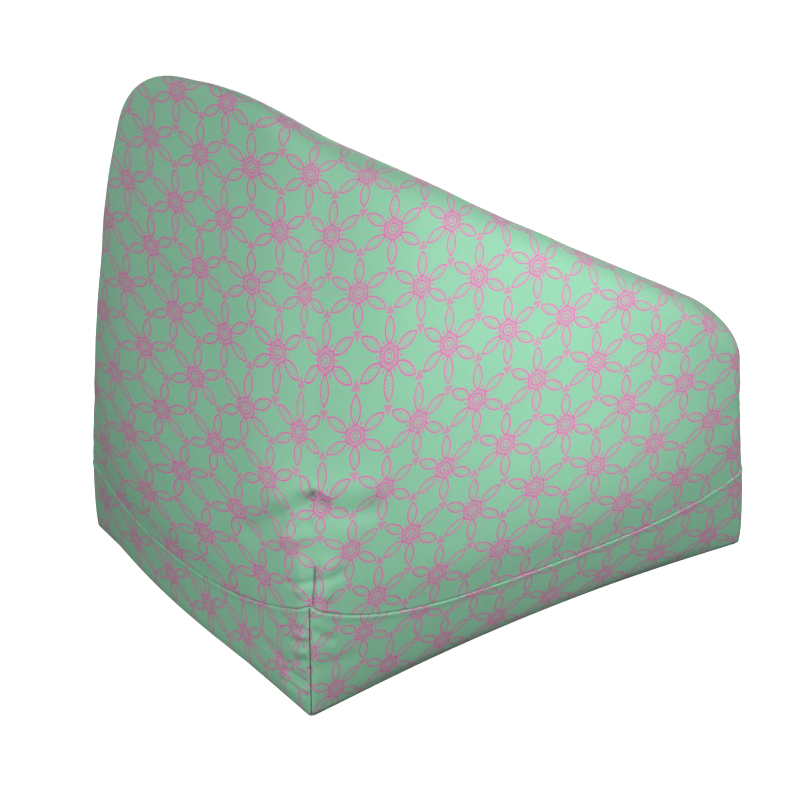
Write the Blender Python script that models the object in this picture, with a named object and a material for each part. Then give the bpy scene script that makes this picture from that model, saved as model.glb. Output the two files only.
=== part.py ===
"""Bean bag lounger: a filled wedge of printed cloth with a tall back, a sloping seat and a base band.

Metres, +Z up. The lounger stands on z = 0 with its tall back towards -X and its low front towards +X.
The origin is the middle of the base, on the floor. The cloth wall is one surface, worked out by
outline_point from a short table of levels; every piece follows it.
"""
import bmesh
import bpy
from collections import namedtuple
from math import cos, floor, pi, sin

# Driving dimensions
DEPTH = 0.84            # back to front, at the floor
WIDTH = 0.69            # side to side, at the floor
BACK_HEIGHT = 0.740     # roof of the filling above the back, along its side edges
FRONT_HEIGHT = 0.396    # roof of the filling above the front, along its side edges
RIDGE_X = -0.36         # where the seat slope starts
BROW_X = 0.36           # where the seat slope ends
SEAT_SAG = 0.005        # the seat slope sinks this much between its ends
SEAT_CROWN = 0.010      # the middle of the seat stands this much over its side edges
BACK_CROWN = 0.040      # the middle of the back stands this much over its side edges
CROWN_REACH = 0.30      # from the centre line to a side edge
CROWN_POWER = 3.0       # how flat the crown is on top
CROWN_RUN = 0.13        # length over which the back's crown sinks to the seat's
CLOTH = 0.002           # thickness of the band strips and the base panel
GAP = 0.0003            # air between two pieces
BOW_POWER = 1.15        # how soon a wall starts to bow out from its corners

# Height of the band seam at each corner, and radius of the soft edge between the walls and the roof there,
# in the order that the outline runs
Corner = namedtuple("Corner", "name seam_height edge_round")
CORNERS = (
    Corner("far_back", 0.121, 0.100),
    Corner("near_back", 0.153, 0.070),
    Corner("near_front", 0.134, 0.062),
    Corner("far_front", 0.134, 0.062),
)
EDGE_ROUND = 0.040      # radius of the soft edge half way between two corners
EDGE_BLEND = 2.5        # how late the soft edge takes on its corner radius

# How the wall stands at each height: how far the back, the sides and the front stand in from the floor
# outline, the radius of the near back corner and of the other upright corners, and how far each wall bows
# out in its middle
Level = namedtuple("Level", "height back side front near_radius radius back_bow side_bow front_bow")
LEVELS = (
    Level(0.000, 0.000, 0.000, 0.000, 0.006, 0.024, 0.004, -0.027, -0.030),
    Level(0.020, 0.000, 0.000, 0.000, 0.009, 0.022, 0.025, -0.006, -0.006),
    Level(0.055, 0.000, 0.001, 0.001, 0.016, 0.022, 0.030, 0.006, 0.008),
    Level(0.115, 0.001, 0.003, 0.004, 0.022, 0.026, 0.034, 0.020, 0.022),
    Level(0.170, 0.003, 0.006, 0.006, 0.038, 0.036, 0.044, 0.034, 0.034),
    Level(0.250, 0.006, 0.010, 0.006, 0.075, 0.050, 0.048, 0.038, 0.040),
    Level(0.350, 0.011, 0.016, 0.003, 0.130, 0.066, 0.042, 0.034, 0.036),
    Level(0.450, 0.018, 0.022, 0.004, 0.160, 0.082, 0.032, 0.030, 0.030),
    Level(0.600, 0.035, 0.032, 0.014, 0.180, 0.100, 0.022, 0.024, 0.020),
    Level(0.800, 0.078, 0.050, 0.030, 0.190, 0.120, 0.012, 0.016, 0.010),
)

# The four walls in the order that the outline runs, anticlockwise from above
BACK, NEAR_SIDE, FRONT, FAR_SIDE = range(4)

# The band strip on each wall: how far its top seam hangs between the corners, how flat that hang is, and
# how much it leans towards the wall's end (or, below zero, its start)
Strip = namedtuple("Strip", "name seam_dip seam_power seam_lean")
STRIPS = (
    Strip("band_back", 0.026, 2.4, 0.70),
    Strip("band_near_side", 0.040, 4.0, -0.25),
    Strip("band_front", 0.034, 3.0, 0.0),
    Strip("band_far_side", 0.038, 3.5, 0.20),
)

# Fineness of the faceted solids
STEPS = 24              # steps along one wall, closer together near the corners
BAND_ROWS = 5
BAND_BIAS = 1.5         # above 1, the band rows crowd towards the floor, where the cloth curls under
WALL_ROWS = 12
EDGE_ROWS = 5
ROOF_ROWS = 6
ROOF_HOLE = 0.06        # the last roof ring, as a share of the first, before the middle closes
SOLVE_TURNS = 14        # turns that settle a point's height against the roof above it

MINT = (0.33, 0.70, 0.47, 1.0)
CLOTH_ROUGHNESS = 0.85


def level_value(column, height):
    """One column of LEVELS at a height, by a smooth curve through the rows."""
    rows = [(level.height, getattr(level, column)) for level in LEVELS]
    height = min(max(height, rows[0][0]), rows[-1][0])
    last = len(rows) - 1
    row = 0
    while row < last - 1 and rows[row + 1][0] < height:
        row += 1

    def slope(index):
        below, above = rows[max(index - 1, 0)], rows[min(index + 1, last)]
        return (above[1] - below[1]) / (above[0] - below[0])

    (low, start), (high, end) = rows[row], rows[row + 1]
    span = high - low
    t = (height - low) / span
    return (start * (2 * t**3 - 3 * t**2 + 1) + end * (3 * t**2 - 2 * t**3)
            + span * (slope(row) * (t**3 - 2 * t**2 + t) + slope(row + 1) * (t**3 - t**2)))


def roof_height(x, y):
    """Height of the filling's top over a point of the plan: the seat slope with its crown."""
    along = min(max((x - RIDGE_X) / (BROW_X - RIDGE_X), -0.2), 1.2)
    slope = BACK_HEIGHT + (FRONT_HEIGHT - BACK_HEIGHT) * along
    slope -= SEAT_SAG * sin(pi * min(max(along, 0.0), 1.0))
    rise = min(max(1 - (x - RIDGE_X) / CROWN_RUN, 0.0), 1.0)**2
    crown = SEAT_CROWN + (BACK_CROWN - SEAT_CROWN) * rise
    return slope + crown * (1 - (abs(y) / CROWN_REACH)**CROWN_POWER)


def edge_radius(turn):
    """Radius of the soft edge between the walls and the roof: larger at the corners than between them."""
    t = 2 * (turn - floor(turn)) - 1
    corner = CORNERS[(floor(turn) + (1 if t > 0 else 0)) % 4]
    return EDGE_ROUND + (corner.edge_round - EDGE_ROUND) * abs(t)**EDGE_BLEND


def outline_point(turn, height, inset=0.0):
    """Point of the wall's outline at a height. turn runs 0 to 4, a whole number at each corner."""
    wall = floor(turn) % 4
    t = 2 * (turn - floor(turn)) - 1
    back_x = -DEPTH / 2 + level_value("back", height) + inset
    front_x = DEPTH / 2 - level_value("front", height) - inset
    half_width = WIDTH / 2 - level_value("side", height) - inset
    beside_near_back = (wall == BACK and t > 0) or (wall == NEAR_SIDE and t < 0)
    radius = level_value("near_radius" if beside_near_back else "radius", height)
    radius = max(radius - 0.35 * inset, 0.006)
    half = half_width if wall in (BACK, FRONT) else (front_x - back_x) / 2
    bow = level_value(("back_bow", "side_bow", "front_bow", "side_bow")[wall], height)
    run = abs(t) * (half - radius + radius * pi / 4)
    bend = max(run - (half - radius), 0.0) / radius
    along = min(run, half - radius) + radius * sin(bend)
    out = bow * (1 - t * t)**BOW_POWER - radius * (1 - cos(bend))
    along = along if t > 0 else -along
    middle = (back_x + front_x) / 2
    if wall == BACK:
        return back_x - out, -along
    if wall == NEAR_SIDE:
        return middle + along, -half_width - out
    if wall == FRONT:
        return front_x + out, along
    return middle - along, half_width + out


def seam_height(turn):
    """Height of the seam between the band and the upper cover."""
    wall = floor(turn) % 4
    t = 2 * (turn - floor(turn)) - 1
    strip = STRIPS[wall]
    start, end = CORNERS[wall].seam_height, CORNERS[(wall + 1) % 4].seam_height
    dip = strip.seam_dip * (1 - abs(t)**strip.seam_power) * (1 + strip.seam_lean * t)
    return start + (end - start) * (t + 1) / 2 - dip


def band_point(turn, share, inset):
    """Point of the band, from the base panel at share 0 to the seam at share 1."""
    low = CLOTH + GAP
    height = low + (seam_height(turn) - low) * share
    return (*outline_point(turn, height, inset), height)


def band_shares():
    """Shares of the band's height at which its rows lie."""
    return [(row / BAND_ROWS)**BAND_BIAS for row in range(BAND_ROWS + 1)]


def ledge_point(turn):
    """Point just over the band's top edge, where the body steps out to its whole size."""
    height = seam_height(turn) + GAP
    return (*outline_point(turn, height, CLOTH + GAP), height)


def wall_point(turn, share):
    """Point of the upper wall, from the seam at share 0 to the start of the soft edge at share 1."""
    low = seam_height(turn) + GAP
    height = low
    for _ in range(SOLVE_TURNS):
        x, y = outline_point(turn, height)
        height = low + (roof_height(x, y) - edge_radius(turn) - low) * share
    return x, y, height


def edge_point(turn, angle):
    """Point of the soft edge, from the wall at angle 0 to the roof at a quarter turn."""
    radius = edge_radius(turn)
    height = BACK_HEIGHT / 2
    for _ in range(SOLVE_TURNS):
        x, y = outline_point(turn, height, radius * (1 - cos(angle)))
        height = roof_height(x, y) - radius * (1 - sin(angle))
    return x, y, height


def roof_point(turn, scale):
    """Point of the roof, drawn in towards its middle by scale."""
    x, y, _ = edge_point(turn, pi / 2)
    return x * scale, y * scale, roof_height(x * scale, y * scale)


def wall_steps(ends=(0.0, 1.0)):
    """Turns along one wall, from 0 to 1, closer together near its corners."""
    first, last = ends
    shares = [(1 + sin(pi / 2 * (2 * k / STEPS - 1))) / 2 for k in range(STEPS + 1)]
    return [first + (last - first) * share for share in shares]


def loft(bm, turns, rows, closed):
    """Skin rows of points with extruded edges. rows holds functions that give a turn's point.

    Returns the edges of the first and the last row.
    """
    if closed:
        bmesh.ops.create_circle(bm, segments=len(turns), radius=1.0)
    else:
        bmesh.ops.create_grid(bm, x_segments=len(turns) - 1, y_segments=1, size=1.0)
        doomed = [vert for vert in bm.verts if vert.co.y > 0]
        bmesh.ops.delete(bm, geom=doomed, context="VERTS")
    step = bm.verts.layers.int.new("step")
    for index, vert in enumerate(bm.verts):
        vert[step] = index
    row_verts, row_edges = list(bm.verts), list(bm.edges)
    first_edges = row_edges
    for index, place in enumerate(rows):
        if index:
            made = bmesh.ops.extrude_edge_only(bm, edges=row_edges)["geom"]
            row_verts = [item for item in made if isinstance(item, bmesh.types.BMVert)]
            inside = set(row_verts)
            row_edges = [item for item in made if isinstance(item, bmesh.types.BMEdge)
                         and set(item.verts) <= inside]
        for vert in row_verts:
            vert.co = place(turns[vert[step]])
    return first_edges, row_edges


def new_object(name, bm, material):
    """Close up a bmesh as a named object, with its faces out and its soft faces smooth."""
    bmesh.ops.recalc_face_normals(bm, faces=bm.faces)
    mesh = bpy.data.meshes.new(name)
    bm.to_mesh(mesh)
    bm.free()
    mesh.materials.append(material)
    mesh.shade_smooth()
    mesh.set_sharp_from_angle(angle=pi / 4)
    obj = bpy.data.objects.new(name, mesh)
    bpy.context.scene.collection.objects.link(obj)
    return obj


def new_material(name, shade):
    """Printed cotton cloth, a little lighter or darker from piece to piece."""
    material = bpy.data.materials.new(name)
    material.use_nodes = True
    shader = material.node_tree.nodes["Principled BSDF"]
    shader.inputs["Base Color"].default_value = (*(shade * part for part in MINT[:3]), MINT[3])
    shader.inputs["Roughness"].default_value = CLOTH_ROUGHNESS
    shader.inputs["Metallic"].default_value = 0.0
    return material


def build_body():
    """The filled body: inside the band it stands in by the strip, above it is the whole surface."""
    tuck = CLOTH + GAP
    turns = [wall + turn for wall in range(4) for turn in wall_steps()[:-1]]
    rows = [lambda turn, share=share: band_point(turn, share, tuck) for share in band_shares()[:-1]]
    rows.append(ledge_point)
    rows += [lambda turn, share=row / WALL_ROWS: wall_point(turn, share) for row in range(WALL_ROWS + 1)]
    rows += [lambda turn, angle=pi / 2 * row / EDGE_ROWS: edge_point(turn, angle)
             for row in range(1, EDGE_ROWS + 1)]
    scales = [1 - (1 - ROOF_HOLE) * row / ROOF_ROWS for row in range(1, ROOF_ROWS + 1)]
    rows += [lambda turn, scale=scale: roof_point(turn, scale) for scale in scales]
    bm = bmesh.new()
    bottom, top = loft(bm, turns, rows, closed=True)
    bmesh.ops.contextual_create(bm, geom=bottom)
    bmesh.ops.contextual_create(bm, geom=top)
    return new_object("filled_body", bm, new_material("filled_body_cloth", 1.0))


def build_strip(wall):
    """One band strip: a sheet of cloth between two upright corner seams."""
    length = DEPTH if wall in (NEAR_SIDE, FAR_SIDE) else WIDTH
    trim = GAP / 2 / length
    turns = [wall + turn for turn in wall_steps((trim, 1 - trim))]
    bm = bmesh.new()
    rows = [lambda turn, share=share: band_point(turn, share, 0.0) for share in band_shares()]
    rows += [lambda turn, share=share: band_point(turn, share, CLOTH) for share in reversed(band_shares())]
    first, last = loft(bm, turns, rows, closed=False)
    bmesh.ops.bridge_loops(bm, edges=first + last)
    bmesh.ops.holes_fill(bm, edges=bm.edges)
    return new_object(STRIPS[wall].name, bm, new_material(STRIPS[wall].name + "_cloth", 0.94))


def build_base():
    """The flat panel that the lounger stands on."""
    turns = [wall + turn for wall in range(4) for turn in wall_steps()[:-1]]
    rows = [lambda turn: (*outline_point(turn, 0.0), 0.0), lambda turn: (*outline_point(turn, 0.0), CLOTH)]
    bm = bmesh.new()
    bottom, top = loft(bm, turns, rows, closed=True)
    bmesh.ops.contextual_create(bm, geom=bottom)
    bmesh.ops.contextual_create(bm, geom=top)
    return new_object("base_panel", bm, new_material("base_panel_cloth", 0.8))


def main():
    """Clear the scene and build the lounger."""
    for obj in list(bpy.data.objects):
        bpy.data.objects.remove(obj, do_unlink=True)
    build_base()
    for wall in range(4):
        build_strip(wall)
    build_body()


main()
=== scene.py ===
"""Bean bag lounger: a filled wedge in printed cotton, with a tall back, a sloping seat and a base band.

Metres, +Z up, origin at the middle of the base on the floor, tall back towards -X. A turn runs round
the lounger from 0 to 4, anticlockwise from above, with a whole number at each corner: 0 the far back
one, 1 the near back one, 2 the near front one and 3 the far front one.
"""
import logging
from dataclasses import dataclass
from enum import Enum
from math import pi, radians, sqrt

import bmesh
import bpy
import numpy as np
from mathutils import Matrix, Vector, noise


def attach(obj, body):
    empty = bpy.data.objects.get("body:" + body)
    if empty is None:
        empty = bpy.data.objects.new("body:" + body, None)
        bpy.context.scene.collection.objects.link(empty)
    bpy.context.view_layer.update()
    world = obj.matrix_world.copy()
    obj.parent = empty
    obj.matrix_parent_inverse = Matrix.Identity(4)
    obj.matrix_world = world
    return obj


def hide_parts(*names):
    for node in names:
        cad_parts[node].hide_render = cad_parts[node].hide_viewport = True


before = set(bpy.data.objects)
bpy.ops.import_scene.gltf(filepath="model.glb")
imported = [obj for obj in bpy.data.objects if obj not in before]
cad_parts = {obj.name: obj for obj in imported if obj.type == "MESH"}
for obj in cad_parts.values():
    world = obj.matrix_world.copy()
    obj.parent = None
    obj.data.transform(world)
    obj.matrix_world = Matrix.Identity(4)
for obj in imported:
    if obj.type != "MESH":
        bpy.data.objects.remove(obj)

LOG = logging.getLogger("lounger")

MM = 1000.0                 # millimetres in a metre
TINY = 1e-12                # keeps a zero length out of a division
MERGE_DISTANCE = 0.00004
FAR_BACK, NEAR_BACK, NEAR_FRONT, FAR_FRONT = range(4)       # the corners, by their turn

# Sizes of the filled form: all but EDGE_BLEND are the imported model's
DEPTH = 0.84
WIDTH = 0.69
BACK_HEIGHT = 0.740
FRONT_HEIGHT = 0.396
RIDGE_X = -0.36
BROW_X = 0.36
SEAT_SAG = 0.005
SEAT_CROWN = 0.010
BACK_CROWN = 0.040
CROWN_REACH = 0.30
CROWN_POWER = 3.0
CROWN_RUN = 0.13
CLOTH = 0.002
GAP = 0.0003
BOW_POWER = 1.15
CORNER_SEAM_HEIGHTS = (0.121, 0.153, 0.134, 0.134)
CORNER_EDGE_ROUNDS = (0.100, 0.070, 0.062, 0.062)
EDGE_ROUND = 0.040
EDGE_BLEND = 4.0
SLOPE_SPAN = (-0.2, 1.2)    # how far the seat slope runs on, in shares of the way from ridge to brow
INSET_SHRINK = 0.35         # share of an inset that comes off a corner's radius
LEAST_RADIUS = 0.006
SOLVE_TURNS = 14


class Wall(Enum):
    """The four walls, in the order that a turn meets them."""

    BACK = 0
    NEAR_SIDE = 1
    FRONT = 2
    FAR_SIDE = 3


@dataclass(frozen=True)
class Level:
    """How the wall stands at one height: stand-ins from the floor outline, corner radii and bows."""

    height: float
    back: float
    side: float
    front: float
    near_radius: float
    radius: float
    back_bow: float
    side_bow: float
    front_bow: float


LEVELS = (
    Level(0.000, 0.000, 0.000, 0.000, 0.006, 0.024, 0.004, -0.027, -0.030),
    Level(0.020, 0.000, 0.000, 0.000, 0.009, 0.022, 0.025, -0.006, -0.006),
    Level(0.055, 0.000, 0.001, 0.001, 0.016, 0.022, 0.030, 0.006, 0.008),
    Level(0.115, 0.001, 0.003, 0.004, 0.022, 0.026, 0.034, 0.020, 0.022),
    Level(0.170, 0.003, 0.006, 0.006, 0.038, 0.036, 0.044, 0.034, 0.034),
    Level(0.250, 0.006, 0.010, 0.006, 0.075, 0.050, 0.048, 0.038, 0.040),
    Level(0.350, 0.011, 0.016, 0.003, 0.130, 0.066, 0.042, 0.034, 0.036),
    Level(0.450, 0.018, 0.022, 0.004, 0.160, 0.082, 0.032, 0.030, 0.030),
    Level(0.600, 0.035, 0.032, 0.014, 0.180, 0.100, 0.022, 0.024, 0.020),
    Level(0.800, 0.078, 0.050, 0.030, 0.190, 0.120, 0.012, 0.016, 0.010),
)


@dataclass(frozen=True)
class SeamHang:
    """How a band seam hangs between two corners: its depth, how flat it is, and its lean to one end."""

    dip: float
    power: float
    lean: float


SEAM_HANGS = {
    Wall.BACK: SeamHang(0.026, 2.4, 0.70),
    Wall.NEAR_SIDE: SeamHang(0.040, 4.0, -0.25),
    Wall.FRONT: SeamHang(0.034, 3.0, 0.0),
    Wall.FAR_SIDE: SeamHang(0.038, 3.5, 0.20),
}


class LoungerForm:
    """The cloth surface of the lounger, worked out from the table of levels."""

    def level(self, column: str, height: np.ndarray) -> np.ndarray:
        """One column of LEVELS at some heights, by a smooth curve through the rows.

        Args:
            column: Name of the Level field.
            height: Heights over the floor, in metres.

        Returns:
            The field's value at each height.
        """
        heights = np.array([level.height for level in LEVELS])
        values = np.array([getattr(level, column) for level in LEVELS])
        last = len(LEVELS) - 1
        below = np.maximum(np.arange(last + 1) - 1, 0)
        above = np.minimum(np.arange(last + 1) + 1, last)
        slopes = (values[above] - values[below]) / (heights[above] - heights[below])
        height = np.clip(height, heights[0], heights[-1])
        row = np.clip(np.searchsorted(heights, height) - 1, 0, last - 1)
        span = heights[row + 1] - heights[row]
        t = (height - heights[row]) / span
        return (values[row] * (2 * t**3 - 3 * t**2 + 1) + values[row + 1] * (3 * t**2 - 2 * t**3)
                + span * (slopes[row] * (t**3 - 2 * t**2 + t) + slopes[row + 1] * (t**3 - t**2)))

    def roof_height(self, x: np.ndarray, y: np.ndarray) -> np.ndarray:
        """Height of the filling's top over points of the plan: the seat slope with its crown.

        Args:
            x: Places from back to front.
            y: Places from the near side to the far side.

        Returns:
            The height over each place.
        """
        along = np.clip((x - RIDGE_X) / (BROW_X - RIDGE_X), *SLOPE_SPAN)
        slope = BACK_HEIGHT + (FRONT_HEIGHT - BACK_HEIGHT) * along
        slope -= SEAT_SAG * np.sin(pi * np.clip(along, 0.0, 1.0))
        rise = np.clip(1 - (x - RIDGE_X) / CROWN_RUN, 0.0, 1.0)**2
        crown = SEAT_CROWN + (BACK_CROWN - SEAT_CROWN) * rise
        return slope + crown * (1 - (np.abs(y) / CROWN_REACH)**CROWN_POWER)

    def edge_radius(self, turn: np.ndarray) -> np.ndarray:
        """Radius of the soft edge between the walls and the roof, larger at the corners.

        It levels off at each corner, so that the seat's outline has no notch there.

        Args:
            turn: Places round the lounger.

        Returns:
            The radius at each place.
        """
        t = 2 * (turn - np.floor(turn)) - 1
        rounds = np.array(CORNER_EDGE_ROUNDS)
        corner = rounds[(np.floor(turn).astype(int) + (t > 0)) % 4]
        return EDGE_ROUND + (corner - EDGE_ROUND) * np.sin(pi / 2 * np.abs(t)**EDGE_BLEND)

    def outline(self, turn: np.ndarray, height: float | np.ndarray, inset: float | np.ndarray) -> tuple:
        """Points of the wall's outline.

        Args:
            turn: Places round the lounger.
            height: Heights over the floor.
            inset: How far each point stands inside the cloth surface.

        Returns:
            The x and the y of each point.
        """
        wall = np.floor(turn).astype(int) % 4
        t = 2 * (turn - np.floor(turn)) - 1
        back_x = -DEPTH / 2 + self.level("back", height) + inset
        front_x = DEPTH / 2 - self.level("front", height) - inset
        half_width = WIDTH / 2 - self.level("side", height) - inset
        beside_near_back = ((wall == 0) & (t > 0)) | ((wall == 1) & (t < 0))
        radius = np.where(beside_near_back, self.level("near_radius", height), self.level("radius", height))
        radius = np.maximum(radius - INSET_SHRINK * inset, LEAST_RADIUS)
        half = np.where(wall % 2 == 0, half_width, (front_x - back_x) / 2)
        side_bow = self.level("side_bow", height)
        bow = np.choose(wall, [self.level("back_bow", height), side_bow,
                               self.level("front_bow", height), side_bow])
        run = np.abs(t) * (half - radius + radius * pi / 4)
        bend = np.maximum(run - (half - radius), 0.0) / radius
        along = (np.minimum(run, half - radius) + radius * np.sin(bend)) * np.sign(t)
        out = bow * np.maximum(1 - t * t, 0.0)**BOW_POWER - radius * (1 - np.cos(bend))
        middle = (back_x + front_x) / 2
        x = np.choose(wall, [back_x - out, middle + along, front_x + out, middle - along])
        y = np.choose(wall, [-along, -half_width - out, along, half_width + out])
        return x, y

    def seam_height(self, turn: np.ndarray) -> np.ndarray:
        """Height of the seam between the band and the upper cover.

        Args:
            turn: Places round the lounger.

        Returns:
            The height at each place.
        """
        wall = np.floor(turn).astype(int) % 4
        t = 2 * (turn - np.floor(turn)) - 1
        hangs = [SEAM_HANGS[Wall(index)] for index in range(4)]
        heights = np.array(CORNER_SEAM_HEIGHTS)
        start, end = heights[wall], heights[(wall + 1) % 4]
        dips = [hang.dip * (1 - np.abs(t)**hang.power) * (1 + hang.lean * t) for hang in hangs]
        return start + (end - start) * (t + 1) / 2 - np.choose(wall, dips)

    def band(self, turn: np.ndarray, share: float, inset: float | np.ndarray) -> np.ndarray:
        """Points of one row of the band.

        Args:
            turn: Places round the lounger.
            share: The row, from the base panel at 0 to the seam at 1.
            inset: How far the row stands inside the cloth surface.

        Returns:
            A point for each place.
        """
        low = CLOTH + GAP
        height = low + (self.seam_height(turn) - low) * share
        return np.stack([*self.outline(turn, height, inset), height], axis=-1)

    def wall(self, turn: np.ndarray, share: float, inset: float | np.ndarray) -> np.ndarray:
        """Points of one row of the upper wall.

        Args:
            turn: Places round the lounger.
            share: The row, from the seam at 0 to the soft edge at 1.
            inset: How far the row stands inside the cloth surface.

        Returns:
            A point for each place.
        """
        low = self.seam_height(turn) + GAP
        height = low
        for _ in range(SOLVE_TURNS):
            x, y = self.outline(turn, height, inset)
            height = low + (self.roof_height(x, y) - self.edge_radius(turn) - low) * share
        return np.stack([x, y, height], axis=-1)

    def edge(self, turn: np.ndarray, angle: float) -> np.ndarray:
        """Points of one row of the soft edge.

        Args:
            turn: Places round the lounger.
            angle: The row, from the wall at 0 to the roof at a quarter turn.

        Returns:
            A point for each place.
        """
        radius = self.edge_radius(turn)
        height = np.full_like(radius, BACK_HEIGHT / 2)
        for _ in range(SOLVE_TURNS):
            x, y = self.outline(turn, height, radius * (1 - np.cos(angle)))
            height = self.roof_height(x, y) - radius * (1 - np.sin(angle))
        return np.stack([x, y, height], axis=-1)


FORM = LoungerForm()


def smooth_share(value: np.ndarray, low: float, high: float) -> np.ndarray:
    """0 below low, 1 above high, with a smooth ramp between them."""
    t = np.clip((value - low) / (high - low), 0.0, 1.0)
    return t * t * (3 - 2 * t)


def graded(length: float, fine: float, coarse: float, growth: float) -> list:
    """Places from 0 to a length, fine at the start and growing to an even, coarser spacing.

    Args:
        length: The whole length, in metres.
        fine: The first spacing.
        coarse: The largest spacing.
        growth: How much wider each step is than the one before.

    Returns:
        The places, from 0 to length.
    """
    places, step = [0.0], fine
    while places[-1] + step < length - 0.5 * step:
        places.append(places[-1] + step)
        step = min(step * growth, coarse)
    return [place * length / places[-1] for place in places]


def graded_both(length: float, fine: float, coarse: float, growth: float) -> list:
    """Shares from 0 to 1 of a length, fine at both ends."""
    half = [place / length for place in graded(length / 2, fine, coarse, growth)]
    return half + [1 - share for share in reversed(half[:-1])]


def srgb(code: str) -> tuple:
    """An sRGB hex colour, six digits after a hash sign, as linear red, green, blue and alpha."""
    parts = [int(code[place:place + 2], 16) / 255 for place in (1, 3, 5)]
    return (*(part / 12.92 if part <= 0.04045 else ((part + 0.055) / 1.055)**2.4 for part in parts), 1.0)


def add_node(tree: bpy.types.NodeTree, kind: str, settings: dict | None = None,
             inputs: dict | tuple = ()) -> bpy.types.Node:
    """Add a node, set it up and link it.

    Args:
        tree: The node tree that takes the node.
        kind: The node's type.
        settings: Its properties by name.
        inputs: Its inputs, by name or number or else in order, each a value or the socket that feeds it.

    Returns:
        The node.
    """
    node = tree.nodes.new(kind)
    for name, value in (settings or {}).items():
        setattr(node, name, value)
    for key, value in inputs.items() if isinstance(inputs, dict) else enumerate(inputs):
        if isinstance(value, bpy.types.NodeSocket):
            tree.links.new(value, node.inputs[key])
        else:
            node.inputs[key].default_value = value
    return node


VECTOR, PLAIN = "ShaderNodeVectorMath", "ShaderNodeMath"


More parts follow.
